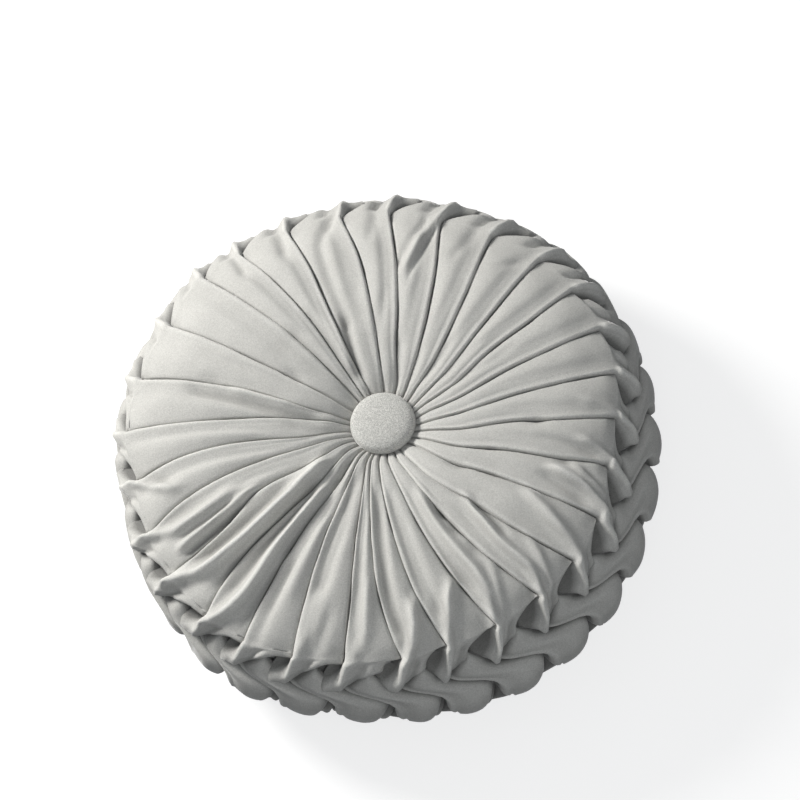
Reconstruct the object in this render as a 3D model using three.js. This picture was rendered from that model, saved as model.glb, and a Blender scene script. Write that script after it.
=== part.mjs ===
// Round smocked cushion lying on its back: one filled, pleated cover and a covered button in each face.
// Millimetres, +Z up. The origin is on the surface that the cushion lies on, under the middle of its outline.
// Bearings are degrees clockwise from +Y, seen from above.
import * as THREE from "three";

// Driving dimensions
const DIAMETER = 380;
const THICKNESS = 110;
const BUTTON_RADIUS = 22.4;
const BUTTON_DOME = 8;
const BUTTON_TOP_BELOW_CROWN = 6.5;
const GAP = 0.35;
const HUB_OFFSET = new THREE.Vector2(7, 3);
const HUB_OFFSET_ENDS_AT = 150;
const HUB_SWIRL_DEG = 10;
const BUTTON_SEGMENTS = 36;

const RADIUS = DIAMETER / 2;

// One row for each pleat, clockwise. rim: bearing where its crease ends at the edge of the face.
// bow: how many degrees further clockwise the crease lies halfway to the button.
// stand: how far the side stands out there, beyond the rows below.
const PLEATS = [
  { rim: 21, bow: 2, stand: 5 }, { rim: 34, bow: 4, stand: 5.5 }, { rim: 47, bow: 3, stand: 5 },
  { rim: 60, bow: 3, stand: 4.5 }, { rim: 72, bow: 2, stand: 3 }, { rim: 84, bow: 2, stand: 1 },
  { rim: 96, bow: 2, stand: -0.5 }, { rim: 108, bow: 3, stand: 0 }, { rim: 120, bow: 4, stand: 0 },
  { rim: 133, bow: 4, stand: 1 }, { rim: 145, bow: 6, stand: 2.5 }, { rim: 156, bow: 8, stand: 3.5 },
  { rim: 168, bow: 8, stand: 3.5 }, { rim: 181, bow: 8, stand: 2 }, { rim: 190.5, bow: 5, stand: 0 },
  { rim: 204, bow: 4, stand: -2 }, { rim: 215, bow: 5, stand: -1 }, { rim: 227, bow: 4, stand: 0 },
  { rim: 238, bow: 4, stand: -0.5 }, { rim: 251, bow: 5, stand: -3 }, { rim: 263, bow: 6, stand: -6 },
  { rim: 277, bow: 4, stand: -8 }, { rim: 289, bow: 3, stand: -7 }, { rim: 303, bow: 1, stand: -3 },
  { rim: 318, bow: 0, stand: 1 }, { rim: 332, bow: 2, stand: 3 }, { rim: 342, bow: 2, stand: 3.5 },
  { rim: 356, bow: 0, stand: 4 }, { rim: 369, bow: 2, stand: 4.5 },
];
const STAND_FROM = 158;
const STAND_FULL_AT = 184;
const PLEAT_COUNT = PLEATS.length;

// Height of the cloth across one pleat, from its lapped-under side to its fold. 1 is the fold, 0 the crease.
const ACROSS = [0, 0.18, 0.42, 0.68, 0.87, 0.95];
const SECTIONS = {
  hub: [0, 0, 0, 0, 0, 0],
  pleat: [0, 0.4, 0.62, 0.85, 1, 0.7],
  tongue: [-0.5, -0.3, 0.3, 0.8, 1, 0.3],
  ribbon: [0, 0.75, 1, 1, 0.95, 0.55],
  lying: [0, 0.8, 1, 1, 1, 0.6],
};

// Rows of the cover from the front hub, over the rim and round to the back hub.
// r, z: the line of the folds. relief: depth of the crease below it. slide: how far the folds have moved
// clockwise along the rim, in pleats. bow: share of the pleat's bow. swirl: share of the hub's swirl.
const FACE_ROWS = [
  { r: 16, z: 88.5, relief: 0, slide: 0, bow: 1.3, swirl: 1, section: "hub" },
  { r: 24.6, z: 94.6, relief: 1, slide: 0, bow: 1.3, swirl: 1, section: "pleat" },
  { r: 31, z: 99.6, relief: 2.5, slide: 0, bow: 1.25, swirl: 0.75, section: "pleat" },
  { r: 44, z: 104.6, relief: 4, slide: 0, bow: 1.2, swirl: 0.45, section: "pleat" },
  { r: 66, z: 108.5, relief: 5, slide: 0, bow: 1.15, swirl: 0.15, section: "pleat" },
  { r: 95, z: THICKNESS, relief: 5.5, slide: 0, bow: 1, swirl: 0, section: "pleat" },
  { r: 125, z: 109.5, relief: 5.5, slide: 0, bow: 0.7, swirl: 0, section: "pleat" },
  { r: 150, z: 105.5, relief: 5.5, slide: 0, bow: 0.3, swirl: 0, section: "pleat" },
];
const SIDE_ROWS = [
  { r: 168, z: 99.5, relief: 6, slide: 0, bow: 0, swirl: 0, section: "pleat" },
  { r: 180.5, z: 90, relief: 6, slide: 0.12, bow: 0, swirl: 0, section: "tongue" },
  { r: 186, z: 79, relief: 6, slide: 0.24, bow: 0, swirl: 0, section: "tongue" },
  { r: 187, z: 68, relief: 7, slide: -0.2, bow: 0, swirl: 0, section: "ribbon" },
  { r: RADIUS, z: 57, relief: 8, slide: -0.55, bow: 0, swirl: 0, section: "ribbon" },
  { r: RADIUS, z: 44, relief: 7, slide: -0.8, bow: 0, swirl: 0, section: "ribbon" },
  { r: 186, z: 30, relief: 6, slide: -0.9, bow: 0, swirl: 0, section: "ribbon" },
];
const BACK_SLIDE = -1;
const RESTS_FROM = 85;
const RESTS_TO = 140;
const BACK_ROWS = [
  { r: 170, z: 13, relief: 6, slide: BACK_SLIDE, bow: 0, swirl: 0, section: "pleat" },
  { r: 157, z: 4.5, relief: 5, slide: BACK_SLIDE, bow: -0.3, swirl: 0, section: "lying" },
  { r: RESTS_TO, z: 0, relief: 5, slide: BACK_SLIDE, bow: -0.6, swirl: 0, section: "lying" },
  { r: RESTS_FROM, z: 0, relief: 5, slide: BACK_SLIDE, bow: -1.1, swirl: -0.1, section: "lying" },
  { r: 50, z: 4, relief: 4, slide: BACK_SLIDE, bow: -1.2, swirl: -0.4, section: "pleat" },
  { r: 31, z: 10.4, relief: 2.5, slide: BACK_SLIDE, bow: -1.25, swirl: -0.75, section: "pleat" },
  { r: 24.6, z: 15.4, relief: 1, slide: BACK_SLIDE, bow: -1.3, swirl: -1, section: "pleat" },
  { r: 16, z: 21.5, relief: 0, slide: BACK_SLIDE, bow: -1.3, swirl: -1, section: "hub" },
];

const velvet = () => new THREE.MeshStandardMaterial({ color: 0xc6c6c1, roughness: 0.95, metalness: 0 });

// Value of a column of PLEATS at a place counted in pleats, which need not be whole.
function alongRim(place, column) {
  const below = Math.floor(place);
  const turns = Math.floor(below / PLEAT_COUNT);
  const first = PLEATS[below - turns * PLEAT_COUNT];
  const next = PLEATS[(below + 1 - turns * PLEAT_COUNT) % PLEAT_COUNT];
  const wraps = column === "rim" && next.rim < first.rim ? 360 : 0;
  const value = THREE.MathUtils.lerp(first[column], next[column] + wraps, place - below);
  return column === "rim" ? value + turns * 360 : value;
}

// Outward direction of the profile at a row, from the rows on both sides of it.
function outward(rows, index) {
  const before = rows[Math.max(index - 1, 0)];
  const after = rows[Math.min(index + 1, rows.length - 1)];
  return new THREE.Vector2(before.z - after.z, after.r - before.r).normalize();
}

function hubShift(r) {
  const share = 1 - THREE.MathUtils.smoothstep(r, BUTTON_RADIUS, HUB_OFFSET_ENDS_AT);
  return HUB_OFFSET.clone().multiplyScalar(share);
}

function coverPoint(rows, index, place, height) {
  const row = rows[index];
  const depth = row.relief * (1 - height);
  const out = outward(rows, index);
  const stand = alongRim(place + row.slide, "stand") * THREE.MathUtils.smoothstep(row.r, STAND_FROM, STAND_FULL_AT);
  const r = row.r + stand - out.x * depth;
  const z = row.z - out.y * depth;
  const turn = row.bow * alongRim(place, "bow") + row.swirl * HUB_SWIRL_DEG;
  const bearing = THREE.MathUtils.degToRad(alongRim(place + row.slide, "rim") + turn);
  const shift = hubShift(row.r);
  return [shift.x + r * Math.sin(bearing), shift.y + r * Math.cos(bearing), z];
}

function cover() {
  const rows = [...FACE_ROWS, ...SIDE_ROWS, ...BACK_ROWS];
  const columns = PLEAT_COUNT * ACROSS.length;
  const positions = [];
  const triangles = [];
  rows.forEach((row, index) => {
    for (let column = 0; column < columns; column += 1) {
      const across = column % ACROSS.length;
      const place = Math.floor(column / ACROSS.length) + ACROSS[across];
      positions.push(...coverPoint(rows, index, place, SECTIONS[row.section][across]));
    }
  });
  const vertex = (row, column) => row * columns + (column % columns);
  for (let row = 0; row < rows.length - 1; row += 1) {
    for (let column = 0; column < columns; column += 1) {
      const [a, b] = [vertex(row, column), vertex(row, column + 1)];
      const [c, d] = [vertex(row + 1, column), vertex(row + 1, column + 1)];
      triangles.push(a, b, c, b, d, c);
    }
  }
  const middles = [rows[0], rows[rows.length - 1]].map((row) => {
    const shift = hubShift(row.r);
    positions.push(shift.x, shift.y, row.z);
    return positions.length / 3 - 1;
  });
  const last = rows.length - 1;
  for (let column = 0; column < columns; column += 1) {
    triangles.push(middles[0], vertex(0, column + 1), vertex(0, column));
    triangles.push(middles[1], vertex(last, column), vertex(last, column + 1));
  }
  const geometry = new THREE.BufferGeometry();
  geometry.setAttribute("position", new THREE.Float32BufferAttribute(positions, 3));
  geometry.setIndex(triangles);
  geometry.computeVertexNormals();
  return geometry;
}

// Covered button: a flat seat, a rounded side and a low dome, turned about its own axis.
function button() {
  const seat = FACE_ROWS[0].z + GAP;
  const top = THICKNESS - BUTTON_TOP_BELOW_CROWN;
  const side = top - BUTTON_DOME;
  const domeSteps = 5;
  const profile = [new THREE.Vector2(0, seat), new THREE.Vector2(FACE_ROWS[0].r - 1, seat)];
  for (let step = 0; step <= domeSteps; step += 1) {
    const angle = (step / domeSteps) * (Math.PI / 2);
    const r = BUTTON_RADIUS * Math.cos(angle) ** 0.6;
    profile.push(new THREE.Vector2(step === domeSteps ? 0 : r, side + BUTTON_DOME * Math.sin(angle)));
  }
  const geometry = new THREE.LatheGeometry(profile, BUTTON_SEGMENTS);
  geometry.rotateX(Math.PI / 2);
  return geometry;
}

function piece(name, geometry) {
  const mesh = new THREE.Mesh(geometry, velvet());
  mesh.name = name;
  return mesh;
}

const cushion = new THREE.Group();
cushion.add(piece("cover", cover()));

const front = piece("button_front", button());
front.position.set(HUB_OFFSET.x, HUB_OFFSET.y, 0);
const back = piece("button_back", button());
back.rotation.x = Math.PI;
back.position.set(HUB_OFFSET.x, HUB_OFFSET.y, THICKNESS);
cushion.add(front, back);

// The side stands out further on some bearings than on others, so the outline's middle is moved over the origin.
const middle = new THREE.Box3().setFromObject(cushion).getCenter(new THREE.Vector3());
cushion.position.set(-middle.x, -middle.y, 0);

export default cushion;
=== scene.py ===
"""Round smocked velvet cushion lying on its back, with a covered button in each face.

Metres in Blender, millimetres in the tables below. Bearings are degrees clockwise from +Y, seen from above,
about the axis of the profiles. MIDDLE is the middle of the outline from there, and becomes the origin.
The cover is one sheet of cloth, built as a grid: its columns run from the front button over the side to the
back button, and its rows go round. The rows form three tiers that overlap like roof tiles: the face with
its tongues, the ribbons of the side, and the back. Between two pleats a fold group holds the lapped cloth.
"""

import math
from collections import namedtuple

import bpy
import numpy as np
from mathutils import Matrix, Vector, noise


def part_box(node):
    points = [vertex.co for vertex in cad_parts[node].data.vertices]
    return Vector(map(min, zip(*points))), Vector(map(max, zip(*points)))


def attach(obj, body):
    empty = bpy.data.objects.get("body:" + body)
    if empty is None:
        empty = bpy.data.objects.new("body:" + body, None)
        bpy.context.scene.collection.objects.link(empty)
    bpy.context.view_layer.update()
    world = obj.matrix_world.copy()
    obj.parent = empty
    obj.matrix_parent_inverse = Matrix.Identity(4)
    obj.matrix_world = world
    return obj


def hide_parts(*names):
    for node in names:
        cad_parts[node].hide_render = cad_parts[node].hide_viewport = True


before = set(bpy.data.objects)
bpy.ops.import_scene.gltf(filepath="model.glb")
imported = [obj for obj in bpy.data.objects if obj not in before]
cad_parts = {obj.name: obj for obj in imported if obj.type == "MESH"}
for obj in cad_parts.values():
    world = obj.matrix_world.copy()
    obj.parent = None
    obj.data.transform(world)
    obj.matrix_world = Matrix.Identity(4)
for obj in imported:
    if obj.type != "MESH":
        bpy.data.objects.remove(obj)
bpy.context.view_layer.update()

MM = 0.001
PLEAT_COUNT = 29
BUTTON_RADIUS = 22.8

# The hub lies beside the axis. Its two offsets fade out between the button and these radii.
HUB = (7.0, 3.0)
HUB_ENDS_AT = (150.0, 60.0)
MIDDLE = (3.62, 0.86)

# Height that the camera looks at, in metres, about halfway up the cushion.
TARGET_HEIGHT = 0.06

# One row for each pleat, clockwise. hub, inner, middle, outer, rim: bearing of the fold at its clockwise
# side, at the five FOLD_RADII, of which the last is EDGE, the edge of the face. edge: radius at which the
# fold ends. welt: how proud of its own pleat the fold stands, with 1 for FURROW_DEPTH.
Pleat = namedtuple("Pleat", "hub inner middle outer rim edge welt")
FOLD_RADII = np.array([28.0, 44.0, 88.0, 125.0, 168.0])
EDGE = FOLD_RADII[-1]
PLEATS = [
    Pleat(35.5, 30.1, 26.4, 24.4, 20.8, 166.4, 0.8),
    Pleat(50.0, 46.0, 40.8, 37.8, 33.7, 163.5, 0.8),
    Pleat(61.5, 59.0, 53.7, 50.6, 47.2, 163.5, 0.6),
    Pleat(75.0, 71.6, 65.6, 63.1, 60.6, 165.0, 0.5),
    Pleat(85.5, 82.8, 75.9, 74.5, 72.1, 167.0, 0.4),
    Pleat(96.5, 93.7, 87.6, 86.0, 84.3, 168.5, 0.4),
    Pleat(110.0, 105.8, 99.3, 97.6, 96.3, 168.5, 0.4),
    Pleat(122.0, 118.5, 111.0, 109.6, 107.7, 165.7, 0.5),
    Pleat(134.0, 131.5, 124.3, 122.4, 119.9, 163.0, 0.7),
    Pleat(146.0, 143.7, 136.6, 134.4, 133.3, 166.8, 0.8),
    Pleat(166.0, 161.9, 151.7, 148.3, 145.0, 168.3, 1.0),
    Pleat(177.0, 172.0, 164.5, 160.3, 156.3, 166.8, 1.2),
    Pleat(190.0, 184.4, 176.5, 172.2, 168.1, 165.6, 1.5),
    Pleat(202.0, 197.4, 188.8, 184.5, 180.1, 165.1, 1.6),
    Pleat(212.5, 207.1, 199.0, 195.2, 190.5, 167.2, 1.8),
    Pleat(218.0, 212.5, 206.1, 203.7, 203.7, 166.6, 1.6),
    Pleat(229.0, 224.7, 219.6, 217.0, 215.4, 168.2, 1.7),
    Pleat(235.0, 231.2, 229.6, 228.4, 227.2, 171.0, 1.4),
    Pleat(247.5, 243.0, 240.7, 240.4, 238.1, 170.9, 0.6),
    Pleat(258.5, 256.4, 256.9, 251.4, 251.0, 168.3, 1.2),
    Pleat(267.7, 269.1, 269.5, 267.3, 263.1, 167.5, 1.4),
    Pleat(277.0, 277.3, 280.9, 280.1, 277.2, 165.5, 1.3),
    Pleat(290.0, 293.0, 292.0, 290.8, 290.0, 173.0, 1.2),
    Pleat(298.0, 300.6, 304.9, 304.9, 303.6, 170.2, 1.0),
    Pleat(315.0, 316.9, 318.4, 319.0, 318.7, 168.6, 0.7),
    Pleat(334.3, 335.8, 336.7, 335.2, 333.0, 172.6, 0.6),
    Pleat(344.0, 345.1, 347.1, 346.1, 343.2, 169.8, 0.6),
    Pleat(355.0, 354.7, 356.2, 357.3, 355.7, 168.4, 0.7),
    Pleat(377.0, 375.7, 374.4, 373.1, 368.9, 166.9, 0.8),
]

# Soft ridges (height above 0) and hollows (below 0) of the cloth between the folds. half: half width in mm.
# line: (radius, bearing) along it. A ridge has a shallow trough at its foot, FOOT_WIDTH times as wide. A
# line fades in and out over these distances from its two ends, in mm.
Soft = namedtuple("Soft", "height half line")
RIDGE_GAIN, RIDGE_FOOT, FOOT_WIDTH = 2.0, 0.5, 2.2
FADE_IN, FADE_OUT = (-9, 5), (-4, 9)
SOFT = [
    Soft(-1.5, 4.0, ((31, 36.5), (46, 32.5), (60, 30.0))),
    Soft(-1.8, 1.6, ((112, 29.8), (125, 31.2), (146, 32.6), (160, 33.2))),
    Soft(-1.6, 1.6, ((122, 25.2), (139, 27.3), (159, 29.4), (170, 30.0))),
    Soft(1.6, 2.6, ((118, 27.6), (135, 29.6), (150, 30.8), (168, 32.6))),
    Soft(-1.2, 3.5, ((36, 50.5), (46, 48.0), (58, 45.5))),
    Soft(-1.6, 4.0, ((138, 41.8), (152, 42.6), (172, 43.0))),
    Soft(-1.6, 3.0, ((40, 61.8), (59, 60.6), (75, 58.8))),
    Soft(-1.3, 4.0, ((146, 54.8), (156, 56.9), (164, 58.6))),
    Soft(-1.0, 3.0, ((52, 72.8), (66, 70.8), (88, 69.2))),
    Soft(-1.1, 3.0, ((56, 80.8), (88, 80.5), (109, 79.2))),
    Soft(1.2, 4.0, ((146, 104.4), (157, 105.2), (170, 106.4))),
    Soft(-2.2, 2.6, ((107, 110.6), (113, 110.4))),
    Soft(-2.2, 2.4, ((116, 116.4), (139, 117.6), (153, 118.8), (166, 120.2))),
    Soft(1.8, 3.0, ((146, 115.8), (159, 117.2), (172, 119.2))),
    Soft(-2.4, 2.4, ((134, 123.0), (140, 123.2))),
    Soft(-2.0, 2.4, ((153, 124.0), (160, 124.6))),
    Soft(3.2, 3.6, ((128, 125.9), (150, 127.5), (163, 129.8), (174, 131.6))),
    Soft(1.8, 2.2, ((144, 123.2), (154, 125.2), (168, 128.1))),
    Soft(-1.7, 3.6, ((124, 129.0), (140, 130.3), (155, 131.7))),
    Soft(2.8, 4.6, ((118, 136.5), (135, 138.8), (145, 140.3), (152, 141.3), (162, 142.5), (172, 144.2))),
    Soft(-2.6, 2.6, ((56, 142.2), (66, 141.0))),
    Soft(3.2, 3.4, ((86, 152.6), (98, 153.8), (124, 154.6), (140, 154.0), (150, 153.6), (159, 154.4),
                    (172, 156.6))),
    Soft(-3.4, 2.4, ((93, 151.9), (103, 151.4), (112, 151.2), (120, 151.6))),
    Soft(1.6, 2.6, ((138, 147.9), (151, 150.0), (172, 153.4))),
    Soft(2.9, 4.2, ((62, 171.8), (88, 170.3), (107, 168.2), (129, 165.8), (140, 165.7), (150, 166.2),
                    (172, 168.8))),
    Soft(1.4, 2.6, ((132, 160.5), (146, 162.8), (168, 166.0))),
    Soft(-2.8, 2.6, ((78, 166.6), (84, 166.0))),
    Soft(-1.6, 3.6, ((94, 164.8), (101, 164.4))),
    Soft(-1.8, 3.0, ((116, 162.6), (121, 162.4))),
    Soft(-1.8, 3.0, ((60, 175.5), (80, 173.3), (100, 171.8), (116, 170.6), (140, 168.9))),
    Soft(3.2, 4.2, ((130, 173.4), (140, 175.9), (151, 177.6), (160, 178.6), (172, 180.2))),
    Soft(-1.8, 3.0, ((55, 189.5), (80, 186.0), (108, 183.6), (130, 182.0))),
    Soft(-2.0, 2.2, ((128, 185.6), (134, 185.8))),
    Soft(3.2, 4.0, ((134, 185.6), (149, 186.2), (161, 187.6), (174, 190.2))),
    Soft(-2.5, 3.4, ((50, 200.0), (63, 197.6), (84, 196.0), (104, 194.2), (129, 192.5), (149, 190.7))),
    Soft(1.6, 5.0, ((118, 198.4), (149, 199.0), (172, 202.0))),
    Soft(-1.6, 2.6, ((70, 206.0), (100, 203.2), (122, 202.2), (142, 202.0))),
    Soft(-2.2, 3.4, ((40, 218.6), (66, 216.8), (88, 216.6), (108, 215.4), (125, 214.4))),
    Soft(1.8, 5.0, ((128, 212.3), (150, 212.5), (172, 214.6))),
    Soft(-1.4, 4.0, ((140, 208.6), (152, 209.4), (164, 210.2))),
    Soft(-1.4, 3.8, ((112, 225.6), (125, 225.3), (145, 225.4))),
    Soft(1.0, 6.0, ((80, 222.6), (108, 221.6), (130, 221.4))),
    Soft(-3.0, 3.0, ((34, 235.0), (46, 232.4), (66, 231.2), (90, 231.0), (110, 230.0))),
    Soft(-2.2, 4.0, ((120, 229.4), (142, 228.9), (160, 229.3))),
    Soft(3.8, 4.6, ((62, 234.4), (76, 233.7), (107, 233.2), (129, 232.1), (142, 232.2), (154, 233.6),
                    (163, 235.3), (174, 237.6))),
    Soft(-2.4, 4.0, ((66, 238.4), (90, 237.2), (110, 236.8), (132, 236.0), (146, 236.6))),
    Soft(-2.6, 2.4, ((60, 243.4), (76, 242.2), (100, 241.4), (124, 241.0), (150, 240.2))),
    Soft(4.4, 5.4, ((50, 251.0), (58, 249.3), (76, 246.4), (98, 244.4), (118, 243.9), (139, 244.8),
                    (152, 246.6), (163, 248.6), (174, 250.8))),
    Soft(-2.6, 4.6, ((76, 250.8), (98, 248.3), (118, 247.4), (139, 248.0), (150, 248.6))),
    Soft(-4.2, 2.4, ((108, 254.6), (118, 253.2), (130, 252.8), (150, 252.6))),
    Soft(2.4, 2.6, ((96, 258.2), (110, 256.4), (125, 255.4), (143, 254.8), (151, 254.6))),
    Soft(-2.6, 3.4, ((112, 257.8), (132, 257.4), (150, 256.9))),
    Soft(2.6, 4.0, ((108, 262.0), (124, 260.5), (136, 259.6), (150, 259.8), (160, 260.9), (174, 263.4))),
    Soft(-1.6, 3.4, ((132, 264.2), (146, 263.3), (158, 262.6))),
    Soft(2.4, 3.6, ((142, 270.6), (151, 272.6), (160, 274.3), (174, 277.4))),
    Soft(-1.3, 2.6, ((142, 272.9), (151, 274.6), (160, 276.0))),
    Soft(-2.2, 4.4, ((31, 279.8), (42, 282.5), (52, 285.4), (60, 287.4))),
    Soft(-3.4, 4.6, ((44, 294.4), (66, 295.9), (83, 298.2), (98, 299.9), (115, 301.1), (128, 302.0))),
    Soft(1.2, 4.0, ((66, 301.5), (86, 303.2), (100, 303.8))),
    Soft(-1.6, 3.0, ((115, 306.4), (121, 306.4))),
    Soft(0.9, 1.6, ((90, 316.4), (118, 315.6), (139, 315.0), (152, 314.4))),
    Soft(-1.8, 3.4, ((66, 319.8), (71, 321.2))),
    Soft(-2.0, 4.0, ((31, 337.4), (48, 338.5), (66, 338.8), (90, 338.2))),
    Soft(-2.0, 3.0, ((150, 340.2), (165, 341.3), (182, 342.0))),
    Soft(-2.4, 4.0, ((38, 347.4), (53, 347.6), (66, 348.6), (79, 349.4), (96, 348.6))),
    Soft(-2.4, 3.4, ((148, 352.0), (165, 353.2), (182, 353.8))),
    Soft(-4.2, 3.2, ((38, 354.6), (44, 355.4), (58, 357.4), (69, 359.1), (80, 360.9))),
    Soft(-2.8, 4.2, ((80, 361.2), (92, 361.7), (125, 361.8), (146, 362.4), (159, 364.1), (176, 368.0))),
    Soft(-1.1, 4.0, ((76, 367.6), (104, 369.0))),
    Soft(-1.1, 4.0, ((66, 376.8), (80, 378.6), (96, 381.0))),
    Soft(-1.6, 4.0, ((146, 376.4), (167, 377.1), (182, 377.4))),
]

# The cushion is not quite round: (bearing, mm that its tongues stand out beyond the profiles, mm that its
# ribbons do). The first holds above the height TONGUES_AT, the second below RIBBONS_AT, and both grow over
# the radii GIRTH_GROWS.
GIRTH = np.array([
    (0, 5.5, 3), (25, 8, 5), (60, 8, 5), (85, 2, 1), (100, -3, -1), (112, -6, -0.5), (122, -5, 0),
    (134, -1, 2), (150, -2, 5), (172, -0.5, 5), (190, -2, 0), (206, -2.5, -3), (217, -1.6, -1),
    (229, -1.7, 0), (239, -2, -2), (255, 0, -8), (270, -1, -13), (292, -1, -12), (306, 3, -5), (325, 6, 0),
    (360, 5.5, 3),
], float)
TONGUES_AT, RIBBONS_AT = 84, 60
GIRTH_GROWS = (158, 184)

# Profiles of the three tiers, (radius, height) along the tops of the folds. EDGE_KNOT and BACK_SIDE_KNOT
# are the knots at the edge of the face and where the back's side begins to turn under.
FACE_PROFILE = np.array([
    (16, 88.5), (23.6, 94.6), (31, 99.6), (44, 104.6), (66, 108.6), (95, 110.4), (125, 109.7),
    (150, 105.8), (EDGE, 99.5), (174.5, 95.6), (180.5, 90), (184.3, 84.7), (186.3, 80), (187.3, 75),
    (187.6, 70),
], float)
EDGE_KNOT = 8
RIBBON_PROFILE = np.array([
    (166, 98.5), (171.5, 95), (176, 90.8), (180.3, 85), (184.2, 79), (187.6, 73), (190.2, 66.5),
    (191.6, 60), (191.9, 53), (191.2, 46.5), (189.6, 41), (187.2, 36), (184, 31.5), (180.5, 27.5),
], float)
BACK_PROFILE = np.array([
    (162, 86), (166, 80), (170, 73), (173.5, 67), (177, 60), (180.5, 53), (183.3, 46), (185, 39), (185, 32),
    (182.8, 25), (178.5, 18), (172, 11), (164, 5.5), (155, 1.8), (146, -0.4), (136, -1.2), (110, -1.2),
    (85, -0.6), (66, 1.0), (50, 3.6), (38, 7.2), (31, 10.4), (23.6, 15.4), (16, 21.5),
], float)
BACK_SIDE_KNOT = 12

# Fold groups: ten points across the lapped cloth, from the ridge of one pleat to the start of the next, as
# (mm clockwise of the fold line, mm above the profile). BESIDE_LOBE is at the lower end of a ribbon.
AT_HUB = np.array([
    (-2.0, -0.15), (-1.4, 0), (-0.9, -0.15), (-0.5, -0.6), (-0.25, -1.3), (-0.08, -2.2), (0.1, -2.8),
    (0.35, -2.4), (0.7, -1.6), (1.2, -0.8),
])
ON_FACE = np.array([
    (-4.2, -0.5), (-2.6, 0), (-1.3, 0.1), (-0.4, -0.4), (0.02, -1.5), (0.1, -3.2), (0.2, -5.6),
    (0.45, -4.2), (0.7, -2.4), (1.5, -1.3),
])
AT_CORNER = np.array([
    (-4.5, -0.2), (-2.4, 0.4), (-0.9, 0.2), (-0.1, -0.9), (0.1, -2.8), (0.2, -5.0), (0.5, -7.0),
    (0.6, -5.2), (0.8, -3.4), (2.0, -2.4),
])
ON_RIBBON = np.array([
    (-5.4, -0.6), (-2.8, 0.2), (-1.0, -0.3), (0.1, -2.0), (0.3, -4.6), (-0.9, -7.4), (-0.4, -9.6),
    (0.6, -8.8), (1.5, -7.2), (3.0, -5.6),
])
BESIDE_LOBE = np.array([
    (-8.0, -0.3), (-5.6, 0.3), (-3.6, -0.4), (-2.0, -2.0), (-1.0, -4.6), (-0.5, -7.6), (0.6, -10.0),
    (2.4, -10.2), (3.9, -7.6), (4.6, -5.0),
])
ON_BACK = ON_FACE[::-1] * (-1, 1)
AT_BACK_HUB = AT_HUB[::-1] * (-1, 1)

# Points of the grid round one pleat: its panel of plain cloth, and then its fold group.
GROUP = len(ON_FACE)
PANEL = 12
PER_PLEAT = GROUP + PANEL
COLUMNS = PER_PLEAT * PLEAT_COUNT

# Painted highlight along the edge of a fold: how much more it counts as raised than its height accounts
# for, across a pleat.
FOLD_EDGE_HIGHLIGHT = np.zeros(PER_PLEAT)
FOLD_EDGE_HIGHLIGHT[PANEL:PANEL + 5] = (0.5, 2.0, 3.0, 3.0, 1.5)

# The tongues. Slides are in pleats clockwise of the fold's end, drops in mm down the side. The hem of a
# pleat starts beside the fold before it and ends at its own tip. Where it is swept, it starts far along and
# low; where it is arched, it starts high beside the fold. The gap is where a ribbon comes out between two
# tongues. Each pair is (slide, drop).
TIP_DROP = 26.0
SWEPT_TIP, ARCHED_TIP = 0.27, 0.13
SWEPT_START, ARCHED_START = (0.73, 13.0), (0.05, 2.0)
SWEPT_GAP, ARCHED_GAP = (0.73, 13.0), (0.62, 11.0)

# Seams between the ribbons: slide, in pleats from the tip of the tongue, at each height. Lower hem of a
# ribbon: height at each place across it, from 0 to 1. The middle of each hem sags by up to SAG_LIMIT mm
# more or less than that. RIBBON_SHADE is the painted shade, in mm of depth, on a ribbon where it comes out.
SEAM_Z = np.array([30, 45, 60, 66, 69.6, 72.4, 75, 77.5, 80.5, 84, 100], float)
SEAM_SLIDE = np.array([-0.74, -0.77, -0.82, -0.83, -0.79, -0.66, -0.42, -0.17, -0.01, 0, 0])
RIBBON_HEM_T = np.array([0, 0.12, 0.26, 0.4, 0.55, 0.7, 0.84, 0.94, 1])
RIBBON_HEM_Z = np.array([60, 54, 47.5, 42.5, 39.5, 38.5, 40.5, 45, 51], float)
SAG_LIMIT, SAG_SEED = 3.0, 7
RIBBON_SHADE = 4.5

# Slide of the back's folds, in pleats, under the ribbons and from there to the button.
BACK_SLIDE_AT_GAP = -0.82
BACK_SLIDE = -0.4

# Turned hems, as (mm along the cloth, mm above it).
TONGUE_ROLL = [(0.9, -0.25), (1.7, -0.9), (2.0, -1.9), (1.4, -3.0), (-0.6, -3.8), (-4.0, -4.2)]
RIBBON_ROLL = [(1.4, -0.8), (2.4, -2.3), (2.6, -4.2), (1.6, -6.0), (-1.0, -7.4), (-5.0, -8.4)]


def spline(knots, values, at):
    """Cubic through the values at the knots. values may have several columns."""
    knots = np.asarray(knots, float)
    values = np.asarray(values, float)
    slopes = np.gradient(values, knots, axis=0)
    at = np.clip(np.asarray(at, float), knots[0], knots[-1])
    before = np.clip(np.searchsorted(knots, at, side="right") - 1, 0, len(knots) - 2)
    span = knots[before + 1] - knots[before]
    t = (at - knots[before]) / span
    if values.ndim > 1:
        t = t[..., None]
        span = span[..., None]
    start, end = values[before], values[before + 1]
    start_slope, end_slope = slopes[before] * span, slopes[before + 1] * span
    return (
        (2 * t**3 - 3 * t**2 + 1) * start + (t**3 - 2 * t**2 + t) * start_slope
        + (3 * t**2 - 2 * t**3) * end + (t**3 - t**2) * end_slope
    )


def smooth(x, low, high):
    """0 below low, 1 above high, with a smooth rise between them."""
    t = np.clip((np.asarray(x, float) - low) / (high - low), 0, 1)
    return t * t * (3 - 2 * t)


def mix(a, b, share):
    """a where share is 0, b where it is 1, and evenly between them."""
    return a + (b - a) * share


def bump(offset, half):
    """1 at no offset, and soon 0 beyond half."""
    return np.exp(-((offset / half) ** 2))


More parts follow.
